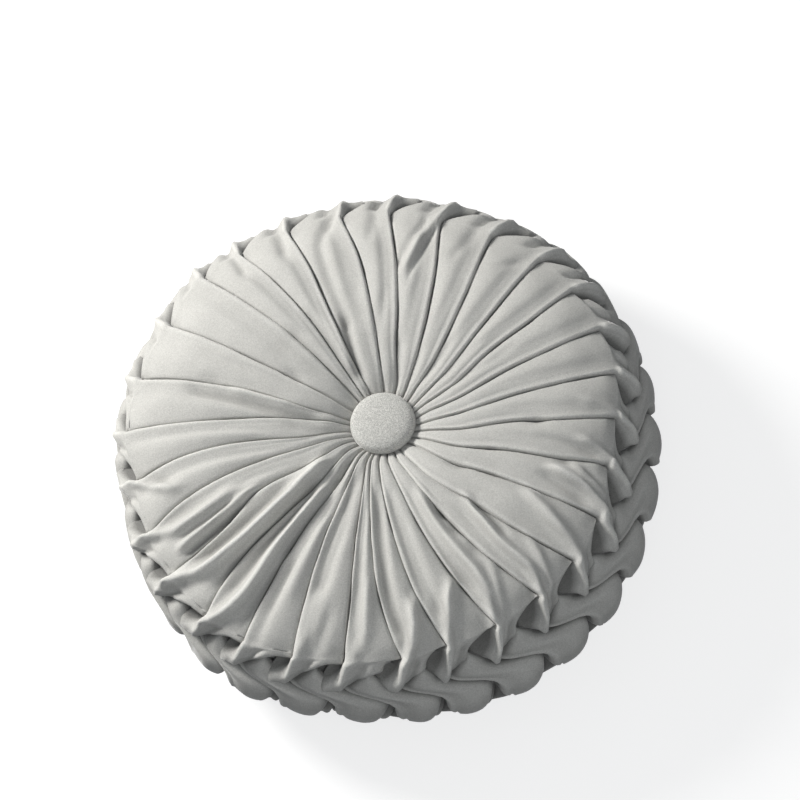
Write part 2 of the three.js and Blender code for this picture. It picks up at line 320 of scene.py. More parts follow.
class Profile:
    """A meridian line (radius, height), by the length along it."""

    def __init__(self, points):
        self.points = points
        self.lengths = np.r_[0, np.cumsum(np.hypot(*np.diff(points, axis=0).T))]

    def at(self, length):
        """Points, and unit directions along the line."""
        step = 0.5
        moves = (-step, 0, step)
        before, here, after = (spline(self.lengths, self.points, length + move) for move in moves)
        along = after - before
        return here, along / np.linalg.norm(along, axis=-1, keepdims=True)

    def length_at_height(self, z):
        """Length where the line first comes down to height z."""
        samples, hair = 600, 1e-9
        fine = np.linspace(0, self.lengths[-1], samples)
        heights = spline(self.lengths, self.points, fine)[:, 1]
        down = np.maximum.accumulate(-heights) + np.arange(samples) * hair
        return np.interp(-z, down, fine)


FACE = Profile(FACE_PROFILE)
RIBBON = Profile(RIBBON_PROFILE)
BACK = Profile(BACK_PROFILE)
EDGE_LENGTH = FACE.lengths[EDGE_KNOT]

# Bearings of the folds, one row for each place counted in pleats, with some to spare beyond the whole turn.
SPARE_PLACES = 3
places = np.arange(-SPARE_PLACES, PLEAT_COUNT + SPARE_PLACES)
folds = np.array([pleat[:len(FOLD_RADII)] for pleat in PLEATS])[places % PLEAT_COUNT]
folds = folds + 360 * (places // PLEAT_COUNT)[:, None]

# edges: how far beyond EDGE each fold ends. across: where the points of a panel lie between its two folds.
edges = np.array([pleat.edge for pleat in PLEATS]) - EDGE
welts = np.array([pleat.welt for pleat in PLEATS])
rims = np.array([pleat.rim for pleat in PLEATS])
pleat_of = np.arange(PLEAT_COUNT)[:, None]
across = (np.arange(PANEL)[None] + 1) / (PANEL + 1)


def bearing(place, radius, back):
    """Bearing at a place counted in pleats, and a radius. On the back the folds bow the other way."""
    weights = spline(FOLD_RADII, np.eye(len(FOLD_RADII)), radius)
    each = np.stack([np.interp(place, places, column) for column in folds.T], -1)
    front = (weights * each).sum(-1)
    return 2 * each[..., -1] - front if back else front


def edge_push(place):
    """How far the edge of the face stands out at a place counted in pleats."""
    whole = np.floor(place).astype(int)
    return mix(edges[whole % PLEAT_COUNT], edges[(whole + 1) % PLEAT_COUNT], smooth(place - whole, 0, 1))


def relief(turn, reach):
    """Height of the soft ridges and hollows at a bearing and a distance out along the cloth."""
    total = np.zeros_like(reach)
    for soft in SOFT:
        radii, bearings = np.array(soft.line).T
        begun = smooth(reach, *(radii[0] + fade for fade in FADE_IN))
        over = smooth(reach, *(radii[-1] + fade for fade in FADE_OUT))
        offset = (turn - np.interp(reach, radii, bearings) + 180) % 360 - 180
        aside = np.radians(offset) * reach
        shape = bump(aside, soft.half)
        if soft.height > 0:
            shape = RIDGE_GAIN * shape - RIDGE_FOOT * bump(aside, FOOT_WIDTH * soft.half)
        total += soft.height * (begun * (1 - over)) * shape
    return total


def girth(turn, z):
    """How far the side stands out at a bearing and a height."""
    bearings, tongues, ribbons = GIRTH.T
    turn = turn % 360
    at_ribbons, at_tongues = (np.interp(turn, bearings, column) for column in (ribbons, tongues))
    return mix(at_ribbons, at_tongues, smooth(z, RIBBONS_AT, TONGUES_AT))


# Share of the height of the soft ridges and hollows that counts in the painted shade and painted highlight
# of the cloth.
SOFT_SHADE = 0.8

rows = []
# For each row, how high each point counts for the painted shade in hollows and the painted highlight on
# high places.
painted_light_rows = []


def add_row(place, point, along, height, push=0.0, slide=0.0, reach=None, back=False, painted_shade=0.0):
    """One row of the grid. place: round the cushion, counted in pleats. point, along: on the profile.
    height: outwards from it. push: outwards from the axis. slide: along the profile. reach: distance out,
    where the relief applies. The last argument is extra painted shade on the row, in mm of depth."""
    radius = point[..., 0]
    turn = bearing(place, radius, back)
    # Height for the painted shade and highlight: the point's height, less its extra painted shade, plus the
    # painted highlight on a fold's edge.
    painted_light_height = height - painted_shade + (FOLD_EDGE_HIGHLIGHT[::-1] if back else FOLD_EDGE_HIGHLIGHT)
    if reach is not None:
        soft = relief(turn, reach)
        height = height + soft
        painted_light_height = painted_light_height + SOFT_SHADE * soft
    r = radius - along[..., 1] * height + along[..., 0] * slide + push
    z = point[..., 1] + along[..., 0] * height + along[..., 1] * slide
    hub_x, hub_y = (
        offset * (1 - smooth(radius, BUTTON_RADIUS, end)) for offset, end in zip(HUB, HUB_ENDS_AT)
    )
    r = r + girth(turn, z) * smooth(radius, *GIRTH_GROWS)
    turn = np.radians(turn)
    rows.append(np.stack([hub_x + r * np.sin(turn), hub_y + r * np.cos(turn), z], -1))
    painted_light_rows.append(painted_light_height)


def pitch(radius):
    """Width of a pleat in mm."""
    return 2 * math.pi * radius / PLEAT_COUNT


def lay(group_x, group_height, panel_height):
    """A row's places and heights: for each pleat its panel, then the fold group at its clockwise side.
    group_x, group_height: of the group, in pleats and mm. panel_height(t, end): height of the panel above
    the straight line between its ends, at the share t across it and end pleats before its fold."""
    group_place = pleat_of + group_x
    start = np.roll(group_place, 1, 0)[:, -1:]
    start[0] -= PLEAT_COUNT
    end = group_place[:, :1]
    place = np.hstack([mix(start, end, across), group_place])
    group_height = group_height + np.zeros_like(group_place)
    straight = mix(np.roll(group_height, 1, 0)[:, -1:], group_height[:, :1], across)
    return place, np.hstack([straight + panel_height(across, (1 - across) * (end - start)), group_height])


# Near the button the pleats are narrower than their fold groups. A group has its full width from this pitch
# outwards, and never less than the share LEAST_WIDTH of it. The hub's own group gives way to the face's
# over the radii HUB_TO_FACE.
HUB_PITCH, FULL_PITCH = 6.0, 17.0
LEAST_WIDTH = 0.34
HUB_TO_FACE = (30, 62)


def narrowing(radius):
    """Share of its full width that a fold group has at a radius."""
    return np.clip(pitch(radius) / FULL_PITCH, LEAST_WIDTH, 1)


def gathered(at_hub, away, radius):
    """Fold group at a radius, from the hub's own and the one that is used away from it."""
    narrow = narrowing(radius)
    hub_width = min(1, pitch(radius) / HUB_PITCH)
    return mix(at_hub * (hub_width, 1), away * (narrow, 0.5 + 0.5 * narrow), smooth(radius, *HUB_TO_FACE))


# Rows of the face: lengths along the profile where each band ends, and the rows in each.
HUB_BAND = 20
EDGE_BAND = 20
FACE_BANDS = (0, HUB_BAND, EDGE_LENGTH - EDGE_BAND, EDGE_LENGTH)
FACE_BAND_ROWS = (8, 35, 12)

# Height of the crown of a panel, at the hub and away from it, and radii over which it grows and then falls
# to the share CROWN_LEFT.
HUB_CROWN, FACE_CROWN, BACK_CROWN = 0.5, 2.1, 1.8
CROWN_GROWS, CROWN_FALLS, CROWN_LEFT = (30, 90), (145, EDGE), 0.6

# Furrow along the inner side of each fold: depth for a welt of 1, mm from the fold, half width, and radii
# over which it grows and then falls to the share FURROW_LEFT.
FURROW_DEPTH, FURROW_AT, FURROW_HALF = 1.5, 5.2, 3.4
FURROW_GROWS, FURROW_FALLS, FURROW_LEFT = (40, 85), (150, EDGE), 0.5

# Radii over which the fold groups take the shape of the corner, and the edge its own radius.
CORNER_GROWS, PUSH_GROWS = (157, EDGE), (110, EDGE)


def face_rows():
    """The face, from the button to its edge."""
    bands = zip(FACE_BANDS, FACE_BANDS[1:], FACE_BAND_ROWS)
    for length in np.hstack([np.linspace(start, end, count)[:-1] for start, end, count in bands]):
        point, along = FACE.at(np.full((PLEAT_COUNT, PER_PLEAT), length))
        radius = point[0, 0, 0]
        width = pitch(radius)
        shape = mix(gathered(AT_HUB, ON_FACE, radius), AT_CORNER, smooth(radius, *CORNER_GROWS))
        crown = mix(HUB_CROWN, FACE_CROWN, smooth(radius, *CROWN_GROWS))
        crown = crown * mix(1, CROWN_LEFT, smooth(radius, *CROWN_FALLS))
        furrow = FURROW_DEPTH * welts[:, None] * smooth(radius, *FURROW_GROWS)
        furrow = furrow * mix(1, FURROW_LEFT, smooth(radius, *FURROW_FALLS))
        furrow_at = FURROW_AT * narrowing(radius)
        place, height = lay(
            shape[:, 0] / width, shape[:, 1],
            lambda t, end: crown * np.sin(np.pi * t) - furrow * bump(end * width - furrow_at, FURROW_HALF),
        )
        push = edge_push(place) * smooth(radius, *PUSH_GROWS)
        add_row(place, point, along, height, push, reach=point[..., 0])


def by_rim(*knots):
    """A value for each pleat, from (bearing, value) knots round the whole turn."""
    bearings, values = np.array(knots, float).T
    return np.interp((rims - bearings[0]) % 360 + bearings[0], bearings, values)[:, None]


# opening: how deep the pocket beside each tongue is. arch: 1 where its hem is arched, 0 where it is swept.
# curve: 1 where the hem between two tongues is curved, 0 where it runs straight to the tip.
# sag: how many mm the middle of a ribbon's hem hangs below the usual hem.
opening = by_rim((60, 0.4), (100, 1), (217, 1), (230, 0.6), (275, 0.4), (300, 0.3), (420, 0.4))
arch = by_rim((60, 1), (80, 0.4), (98, 0), (172, 0), (190, 0.5), (203, 1), (420, 1))
curve = by_rim((80, 0.3), (98, 0), (172, 0), (190, 0.5), (203, 1), (285, 1), (320, 0.1), (420, 0.1))
sag = np.random.default_rng(SAG_SEED).uniform(-SAG_LIMIT, SAG_LIMIT, (PLEAT_COUNT, 1))
tip_slides = mix(SWEPT_TIP, ARCHED_TIP, arch)
start_slides, start_drops = (mix(a, b, arch) for a, b in zip(SWEPT_START, ARCHED_START))
gap_slides, gap_drops = (mix(a, b, arch) for a, b in zip(SWEPT_GAP, ARCHED_GAP))


def by_column(values):
    """Spreads one value for each pleat over the columns, evenly from fold to fold."""
    return np.hstack([mix(np.roll(values, 1, 0), values, across), np.repeat(values, GROUP, 1)])


# Heights of the cloth beside a tongue: where no pocket opens, in a pocket at its top, where it is deepest
# and at its hem, and of the lip of the next pleat.
CLOSED = -3.0
POCKET_TOP, POCKET_DEEPEST, POCKET_HEM = -7.0, -12.5, -9.0
LIP = -2.5

# Shares of the way from the edge of the face to the hem over which each part of a fold group is formed.
POCKET_DEEPENS, POCKET_RISES = (0, 0.35), (0.6, 1)
FOOT_GROWS, TOE_GROWS, TOE_SPREADS = (0.6, 0.95), (0.45, 1), (0.2, 0.8)
GROUP_GROWS = (0, 0.16)
TOE_WIDTH = 0.68
START_EASE, DROP_EASE = 1.8, 1.5


def tongue_group(down, width):
    """Fold group beside each tongue, at the share down of the way from the edge of the face to the hem. The
    ten points of each kind are (mm clockwise of the fold line, mm above the profile, mm down the side)."""
    tip = tip_slides * down * width
    start = start_slides * mix(1 - (1 - down) ** START_EASE, 1, arch) * width
    low, high = TIP_DROP * down, start_drops * down**DROP_EASE
    pocket = mix(POCKET_TOP, POCKET_DEEPEST, smooth(down, *POCKET_DEEPENS))
    pocket = mix(pocket, POCKET_HEM, smooth(down, *POCKET_RISES))
    bottom = mix(CLOSED, pocket, opening)
    foot = smooth(down, *FOOT_GROWS)
    swept = [
        (tip - 7.0, -0.2, low - 9 * down),
        (tip - 4.2, 1.8, low - 4.5 * down),
        (tip - 1.4, 2.4, low - 1.2 * down),
        (tip + 0.6 + 1.0 * foot, 0.6, low),
        (tip + 1.0 + 3.0 * foot * opening, -3.4 + 0.8 * foot, low - 4 * down),
        (mix(tip + 3, start, 0.42), mix(-4.4, bottom, 0.7), mix(low, high, 0.6)),
        (start + 4.5 * opening, bottom, high),
        (start + 0.6, bottom + 2.0 * opening, high),
        (start - 0.9, LIP - 1.8 * opening, high),
        (start - 0.2, LIP, high),
    ]
    toe = smooth(down, *TOE_GROWS)
    spread = TOE_WIDTH * smooth(down, *TOE_SPREADS) * width
    arched = [
        (tip - 5.5, 0.2, low - 6 * down),
        (tip - 3.0, 1.6, low - 3.8 * down),
        (tip - 0.8, 1.8, low - 2 * down),
        (tip + 0.8 + 1.4 * toe, mix(-1.5, 0.2, toe), low - 1 * down),
        (tip + 1.2 + 0.18 * spread, mix(-5, -0.4, toe), low),
        (tip + 1.4 + 0.36 * spread, mix(-7, -1.0, toe), low),
        (tip + 1.4 + 0.46 * spread, mix(-8.5, mix(-3.2, -6.0, opening), toe), low - 5 * down),
        (tip + 1.2 + 0.34 * spread, -9.0, mix(low, high, 0.75)),
        (start - 0.6, LIP - 2.5, high),
        (start - 0.2, LIP, high),
    ]
    zero = np.zeros((PLEAT_COUNT, 1))
    x, heights, drops = (
        mix(*(np.hstack([zero + point[i] for point in kind]) for kind in (swept, arched)), arch)
        for i in range(3)
    )
    grown = smooth(down, *GROUP_GROWS)
    return mix(AT_CORNER[:, 0], x, grown) / width, mix(AT_CORNER[:, 1], heights, grown), drops


# Rows of the tongues, and the radius that gives the pitch at their hem.
TONGUE_ROWS = 20
TONGUE_RADIUS = FACE_PROFILE[-4, 0]

# Where a hem is curved, it runs level over the first share of the pleat and then falls to the tip.
LEVEL_SHARE, CURVE_POWER = 0.25, 1.7

# The tips are pinched inwards towards the hem, by these shares of PINCH at the points of the fold group.
PINCH, PINCH_HALF, PINCH_GROWS = 2.2, 7, (0.72, 1)
PINCHED = np.array([1, 1, 1, 0.8, 0.5, 0, 0, 0, 0, 0])

# Height of the crown of a tongue at the edge of the face and at the hem, and the hollow behind its fold:
# depth, mm from the fold and half width.
EDGE_CROWN, HEM_CROWN = 1.26, 1.5
HOLLOW_DEPTH, HOLLOW_AT, HOLLOW_HALF, HOLLOW_GROWS = 3.2, 7.5, 4.2, (0.05, 0.5)

# Share of the edge's own radius that is left at the tips.
PUSH_LEFT = 0.6

# Share of the turned hem at each point of the fold group. The rest dives straight in, DIVE times as deep.
SWEPT_HANGING = np.r_[np.ones(5), 0.6, 0, 0, 0, 0.3]
ARCHED_HANGING = np.r_[np.ones(6), 0.7, 0, 0, 1]
DIVE = 1.6

# The turned hem is given painted shade as if it lay deeper than it does, by this many times its depth.
ROLL_SHADE = 1.2


def tongue_rows():
    """The part of the face that hangs down its side in tongues, and their turned hem."""
    curved = np.clip((across - LEVEL_SHARE) / (1 - LEVEL_SHARE), 0, 1) ** CURVE_POWER
    share = mix(across, curved, np.roll(curve, 1, 0))
    for down in np.linspace(0, 1, TONGUE_ROWS):
        width = pitch(mix(EDGE, TONGUE_RADIUS, down))
        group_x, group_height, group_drop = tongue_group(down, width)
        pinch = smooth(down, *PINCH_GROWS) * PINCH
        hollow = HOLLOW_DEPTH * smooth(down, *HOLLOW_GROWS)
        crown = mix(EDGE_CROWN, HEM_CROWN, down)
        place, height = lay(
            group_x, group_height - pinch * PINCHED,
            lambda t, end: crown * np.sin(np.pi * t) - hollow * bump(end * width - HOLLOW_AT, HOLLOW_HALF)
            - pinch * (bump(end * width, PINCH_HALF) - t),
        )
        drop = np.hstack([mix(np.roll(group_drop, 1, 0)[:, -1:], group_drop[:, :1], share), group_drop])
        point, along = FACE.at(EDGE_LENGTH + drop)
        push = edge_push(place) * mix(1, PUSH_LEFT, smooth(drop, 0, TIP_DROP))
        add_row(place, point, along, height, push, reach=EDGE + drop)
    hanging = np.hstack([np.ones((PLEAT_COUNT, PANEL)), mix(SWEPT_HANGING, ARCHED_HANGING, arch)])
    for slide, depth in TONGUE_ROLL:
        dive = (1 - hanging) * depth * DIVE
        add_row(place, point, along, height + depth + dive, push, slide * hanging, reach=EDGE + drop,
                painted_shade=-ROLL_SHADE * depth)


# Beginning of a ribbon, as (mm above its top line, mm above the profile): hidden under the hem of a tongue,
# or as a rounded shoulder between two tongues.
HIDDEN_START = np.array([
    (5.5, -5.6), (3.5, -5.2), (1.5, -4.7), (-0.5, -4.0), (-3, -2.6), (-6, -1.4), (-11, -0.4), (-16, 0),
], float)
SHOULDER_START = np.array([
    (-2.5, -9), (0.3, -7), (1.1, -4.8), (0.3, -3.2), (-2, -2.2), (-5.5, -1.2), (-11, -0.3), (-16, 0),
], float)

# Rows from the beginning of a ribbon and down its length. A ribbon shorter than FULL_SPAN mm has a shorter
# beginning, never less than the share LEAST_START. Its painted shade ends over the knots SHADE_ENDS.
START_ROWS, LENGTH_ROWS = 15, 13
FULL_SPAN, LEAST_START = 24, 0.4
SHADE_ENDS = (1, 5)

# The top line of a ribbon, across it: how its two sides rise to the gap between two tongues.
BEFORE_GAP_POWER, AFTER_GAP_SQUARE = 1.3, 0.3

# The shoulder shows from the fold to the gap, and blends with the hidden start over these shares of a
# pleat. It needs an open pocket, and is full where the opening is above 1 / OPENING_GAIN.
FOLD_BLEND, GAP_BLEND = 0.12, (-0.08, 0.1)
OPENING_GAIN = 1.3

# Heights over which the groups beside a lobe give way to those further up, and over which the ribbons begin
# to follow the radius of the edge above them, with the share of it that they follow.
LOBE_ENDS, RIBBON_PUSH_GROWS, RIBBON_PUSH = (60, 70), (45, 85), 0.6

# Crown of a ribbon: a steep rise beside the seam before it, and a low arch.
STEEP_CROWN, LOW_CROWN = 10.0, 2.4


def ribbon_rows():
    """The ribbons of the side, each from under a tongue, down and anticlockwise, to its own rounded hem.
    Gives the height of the hem at each point of a row."""
    tip_z, gap_z = (FACE.at(EDGE_LENGTH + drop)[0][..., 1] for drop in (TIP_DROP, np.roll(gap_drops, 1, 0)))
    gap_at = np.roll(gap_slides - tip_slides, 1, 0)
    before = np.clip(across / gap_at, 0, 1) ** BEFORE_GAP_POWER
    after = np.clip((1 - across) / (1 - gap_at), 0, 1)
    share = np.where(across < gap_at, before, mix(after, after**2, AFTER_GAP_SQUARE))
    top = np.hstack([mix(tip_z, gap_z, share), np.full((PLEAT_COUNT, GROUP), tip_z)])
    hem_at_fold = np.linspace(RIBBON_HEM_Z[-1], RIBBON_HEM_Z[0], GROUP)
    hem = np.r_[spline(RIBBON_HEM_T, RIBBON_HEM_Z, across[0]), hem_at_fold]
    hem = hem - np.hstack([sag * np.sin(np.pi * across), np.zeros((PLEAT_COUNT, GROUP))])
    hidden = 1 - smooth(across, 0, FOLD_BLEND) + smooth(across, *(gap_at + blend for blend in GAP_BLEND))
    hidden = np.maximum(hidden, 1 - np.roll(opening, 1, 0) * OPENING_GAIN)
    hidden = np.hstack([hidden, np.ones((PLEAT_COUNT, GROUP))])[..., None]
    scale = np.clip((top - hem) / FULL_SPAN, LEAST_START, 1)
    knots = np.arange(len(HIDDEN_START))

    def row(z, depth):
        point, along = RIBBON.at(RIBBON.length_at_height(z))
        width = pitch(point[:, PANEL:, 0])
        shape = mix(BESIDE_LOBE, ON_RIBBON, smooth(z[:, PANEL:], *LOBE_ENDS)[..., None])
        place, height = lay(
            shape[..., 0] / width, shape[..., 1],
            lambda t, end: STEEP_CROWN * (np.sqrt(t) - t) + LOW_CROWN * np.sin(np.pi * t),
        )
        place = place + by_column(tip_slides) + spline(SEAM_Z, SEAM_SLIDE, z)
        push = edge_push(place) * RIBBON_PUSH * smooth(z, *RIBBON_PUSH_GROWS)
        return place, point, along, height + depth, push

    for knot in np.linspace(0, knots[-1], START_ROWS):
        shoulder, under = (spline(knots, start, np.array(knot)) for start in (SHOULDER_START, HIDDEN_START))
        start = mix(shoulder, under, hidden)
        # Painted shade on the ribbon where it comes out from under a tongue.
        shade = RIBBON_SHADE * (1 - smooth(knot, *SHADE_ENDS))
        add_row(*row(top + start[..., 0] * scale, start[..., 1]), painted_shade=shade)
    last = top + HIDDEN_START[-1, 0] * scale
    for down in np.linspace(0, 1, LENGTH_ROWS)[1:]:
        place, point, along, height, push = row(mix(last, hem, down), 0)
        add_row(place, point, along, height, push)
    for slide, depth in RIBBON_ROLL:
        add_row(place, point, along, height + depth, push, slide)
    return hem


# The back begins this far above the hems of the ribbons. Its rows lie at these shares of its side, and then
# in FLAT_ROWS even steps to the button.
ABOVE_HEM = 6.0
SIDE_SHARES = np.r_[0, 0.05, 0.1, np.linspace(0.16, 1, 14)]
FLAT_ROWS = 18

# The back's fold group is this much wider and deeper than the face's.
BACK_GROUP = (1.2, 1.4)

# Under the ribbons the back lies TUCK mm deeper, and gets painted shade. Each ends over these shares of its
# side.
TUCK, TUCK_ENDS = 2.5, (0, 0.2)
BACK_SHADE, BACK_SHADE_ENDS = 6, (0.2, 0.7)
BACK_SLIDE_GROWS = (0.1, 1)


def back_rows(hem):
    """The back, from under the ribbons round to the back button."""
    side_end = BACK.lengths[BACK_SIDE_KNOT]
    start = BACK.length_at_height(hem + ABOVE_HEM)
    side = [mix(start, side_end, share) for share in SIDE_SHARES]
    flat_lengths = np.linspace(side_end, BACK.lengths[-1], FLAT_ROWS + 1)[1:]
    flat = [np.full((PLEAT_COUNT, PER_PLEAT), length) for length in flat_lengths]
    for number, length in enumerate(side + flat):
        point, along = BACK.at(length)
        radius = point[..., :1, 0].mean()
        width = pitch(point[:, PANEL:, 0])
        on_side = min(number / (len(side) - 1), 1)
        tucked = 1 - smooth(on_side, *TUCK_ENDS)
        shape = mix(BESIDE_LOBE, ON_BACK * BACK_GROUP, smooth(on_side, *TUCK_ENDS))
        if number >= len(side):
            shape = gathered(AT_BACK_HUB, shape, radius)
        crown = mix(HUB_CROWN, BACK_CROWN, smooth(radius, *CROWN_GROWS))
        place, height = lay(shape[:, 0] / width, shape[:, 1], lambda t, end: crown * np.sin(np.pi * t))
        slide = mix(BACK_SLIDE_AT_GAP, BACK_SLIDE, smooth(on_side, *BACK_SLIDE_GROWS))
        # Painted shade on the back where it lies under the ribbons.
        shade = BACK_SHADE * (1 - smooth(on_side, *BACK_SHADE_ENDS))
        place = place + (by_column(tip_slides) + slide)
        add_row(place, point, along, height - TUCK * tucked, back=True, painted_shade=shade)


# Waves of the uneven cloth, as (length, height) in mm.
WAVES = ((34.0, 0.7), (15.0, 0.35), (7.0, 0.12))


def uneven(points):
    """Moves the points of the grid by a few tenths of a millimetre, as cloth never lies quite even."""
    out = np.cross(np.roll(points, -1, 1) - np.roll(points, 1, 1), np.gradient(points, axis=0))
    shortest = 1e-6
    out /= np.maximum(np.linalg.norm(out, axis=-1, keepdims=True), shortest)
    flat = points.reshape(-1, 3)
    moves = np.zeros(len(flat))
    for length, height in WAVES:
        moves += [height * noise.noise(place) for place in (flat / length).tolist()]
    return points + out * moves.reshape(points.shape[:2])[..., None]


def make_object(name, vertices, faces):
    """Adds a mesh with smooth shading to the scene."""
    mesh = bpy.data.meshes.new(name)
    mesh.from_pydata(vertices, [], faces)
    mesh.polygons.foreach_set("use_smooth", np.ones(len(mesh.polygons), bool))
    mesh.update()
    piece = bpy.data.objects.new(name, mesh)
    bpy.context.scene.collection.objects.link(piece)
    return piece


def build_cover():
    """The whole sheet of cloth, closed under each button. Its points carry heights for painted shade and
    highlight.
    """
    face_rows()
    tongue_rows()
    back_rows(ribbon_rows())
    points = uneven(np.stack(rows).reshape(len(rows), COLUMNS, 3)) - (*MIDDLE, 0)
    points[..., 2] = np.maximum(points[..., 2], 0)
    index = np.arange(len(rows) * COLUMNS).reshape(len(rows), COLUMNS)
    beside = np.roll(index, -1, axis=1)
    faces = np.stack([index[:-1], beside[:-1], beside[1:], index[1:]], -1).reshape(-1, 4).tolist()
    first, last = index.size, index.size + 1
    faces += [(first, b, a) for a, b in zip(index[0].tolist(), beside[0].tolist())]
    faces += [(last, a, b) for a, b in zip(index[-1].tolist(), beside[-1].tolist())]
    vertices = np.vstack([points.reshape(-1, 3), points[0].mean(0), points[-1].mean(0)]) * MM
    cover = make_object("cover_cloth", vertices.tolist(), faces)
    # Heights that the velvet turns into painted shade in the hollows and painted highlight on the high
    # places.
    painted_light_values = np.r_[np.stack(painted_light_rows).ravel(), 0, 0]
    cover.data.attributes.new("painted_light_rows", "FLOAT", "POINT").data.foreach_set("value", painted_light_values)
    return cover


# Button outline from the middle of its seat to the top of its dome, as shares of its radius and height.
BUTTON_PROFILE = np.array([
    (0, 0), (0.45, 0), (0.68, 0.02), (0.82, 0.09), (0.93, 0.21), (0.985, 0.34), (1.0, 0.45), (0.995, 0.57),
    (0.975, 0.69), (0.93, 0.79), (0.84, 0.868), (0.70, 0.926), (0.51, 0.967), (0.27, 0.992), (0, 1),
])
BUTTON_RINGS, BUTTON_SIDES = 57, 96


def build_button(name, node):
    """Domed covered button with a rolled lower edge, in the box of its CAD node."""
    low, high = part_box(node)
    centre = (low + high) / 2
    radius = (high.x - low.x) / 2
    height = high.z - low.z
    up = 1 if centre.z > TARGET_HEIGHT else -1
    seat = low.z if up > 0 else high.z
    knots, rings = (np.linspace(0, 1, count) for count in (len(BUTTON_PROFILE), BUTTON_RINGS))
    outline = spline(knots, BUTTON_PROFILE, rings)[1:-1]
    turns = np.linspace(0, 2 * math.pi, BUTTON_SIDES, endpoint=False)
    vertices = [
        (centre.x + radius * r * math.sin(a), centre.y + radius * r * math.cos(a), seat + up * z * height)
        for r, z in outline for a in turns
    ]
    bottom, top = len(vertices), len(vertices) + 1
    vertices += [(centre.x, centre.y, seat), (centre.x, centre.y, seat + up * height)]
    highest = (len(outline) - 1) * BUTTON_SIDES
    faces = []
    for side in range(BUTTON_SIDES):
        beside = (side + 1) % BUTTON_SIDES
        faces += [
            (ring + side, ring + beside, ring + beside + BUTTON_SIDES, ring + side + BUTTON_SIDES)
            for ring in range(0, highest, BUTTON_SIDES)
        ]
        faces += [(bottom, beside, side), (top, highest + side, highest + beside)]
    button = make_object(name, vertices, faces)
    if up > 0:
        button.data.flip_normals()
    return button


class Nodes:
    """Short calls to add and join the nodes of a material."""

    def __init__(self, material):
        material.use_nodes = True
        self.tree = material.node_tree
        self.shader = self.tree.nodes["Principled BSDF"]

    def add(self, kind, settings=(), **inputs):
        node = self.tree.nodes.new(kind)
        for name, value in dict(settings).items():
            setattr(node, name, value)
        for name, value in inputs.items():
            self.put(value, node.inputs[name.replace("_", " ")])
        return node

    def put(self, value, socket):
        if isinstance(value, bpy.types.NodeSocket):
            self.tree.links.new(value, socket)
        else:
            socket.default_value = value

    def noise(self, where, scale, detail, roughness=0.5):
        node = self.add("ShaderNodeTexNoise", Vector=where, Scale=scale, Detail=detail, Roughness=roughness)
        return node.outputs["Fac"]

    def remap(self, value, low, high, at_low, at_high):
        node = self.add("ShaderNodeMapRange", Value=value, From_Min=low, From_Max=high, To_Min=at_low,
                        To_Max=at_high)
        return node.outputs["Result"]

    def spread(self, value, low, high):
        """Maps the usual range of a noise to low…high."""
        usual_low, usual_high = 0.3, 0.7
        return self.remap(value, usual_low, usual_high, low, high)

    def reckon(self, operation, a, b):
        node = self.add("ShaderNodeMath", {"operation": operation})
        self.put(a, node.inputs[0])
        self.put(b, node.inputs[1])
        return node.outputs["Value"]

    def times(self, a, b):
        return self.reckon("MULTIPLY", a, b)

    def plus(self, a, b):
        return self.reckon("ADD", a, b)


# Velvet. Painted shade in the hollows and painted highlight on the high places, by a point's height in
# mm: low, high, shade at low, shade at high.
PAINTED_HOLLOW_SHADE = (-6.0, -1.2, 0.4, 1.0)
PAINTED_RIDGE_HIGHLIGHT = (1.0, 4.5, 1.0, 1.25)

# Sizes of the tufts against the grain, and of the brushed patches, and how much each lightens and darkens.
TUFT_SCALE, TUFT_SHADES = 0.4, (0.98, 1.02)
BRUSHED_SCALE, BRUSHED_SHADES = 30, (0.965, 1.035)
ROUGHNESS = (0.78, 0.98)
ROUGHNESS_BRUSHED, HEIGHT_TUFTS, BUMP_STRENGTH = 0.5, 0.6, 0.5


def velvet(name, colour, grain, grain_depth, flecks):
    """Short-pile velvet: flecked nap, soft brushed patches, painted shade in the hollows and painted
    highlight on the high places.
    grain: how fine the nap is. grain_depth: its depth in metres. flecks: its darkest and lightest shade."""
    material = bpy.data.materials.new(name)
    nodes = Nodes(material)
    shader = nodes.shader
    shader.inputs["Specular IOR Level"].default_value = 0.15
    shader.inputs["Sheen Weight"].default_value = 0.5
    shader.inputs["Sheen Roughness"].default_value = 0.35
    where = nodes.add("ShaderNodeTexCoord").outputs["Object"]
    nap = nodes.noise(where, grain, detail=3, roughness=0.6)
    tufts = nodes.noise(where, grain * TUFT_SCALE, detail=2)
    brushed = nodes.noise(where, BRUSHED_SCALE, detail=4, roughness=0.6)
    shade = nodes.times(nodes.spread(nap, *flecks), nodes.spread(tufts, *TUFT_SHADES))
    shade = nodes.times(shade, nodes.spread(brushed, *BRUSHED_SHADES))
    # Painted shade in the hollows and painted highlight on the high places, from each point's height.
    painted_light_height = nodes.add("ShaderNodeAttribute", {"attribute_name": "painted_light_rows"}).outputs["Fac"]
    shade = nodes.times(shade, nodes.remap(painted_light_height, *PAINTED_HOLLOW_SHADE))
    shade = nodes.times(shade, nodes.remap(painted_light_height, *PAINTED_RIDGE_HIGHLIGHT))
    tint = nodes.add("ShaderNodeVectorMath", {"operation": "SCALE"}, Scale=shade)
    tint.inputs[0].default_value = colour
    nodes.put(tint.outputs["Vector"], shader.inputs["Base Color"])
    rough = nodes.plus(nap, nodes.times(brushed, ROUGHNESS_BRUSHED))
    nodes.put(nodes.spread(rough, *ROUGHNESS), shader.inputs["Roughness"])
    height = nodes.plus(nap, nodes.times(tufts, HEIGHT_TUFTS))
    bumps = nodes.add("ShaderNodeBump", Strength=BUMP_STRENGTH, Distance=grain_depth, Height=height)
    nodes.put(bumps.outputs["Normal"], shader.inputs["Normal"])
    return material


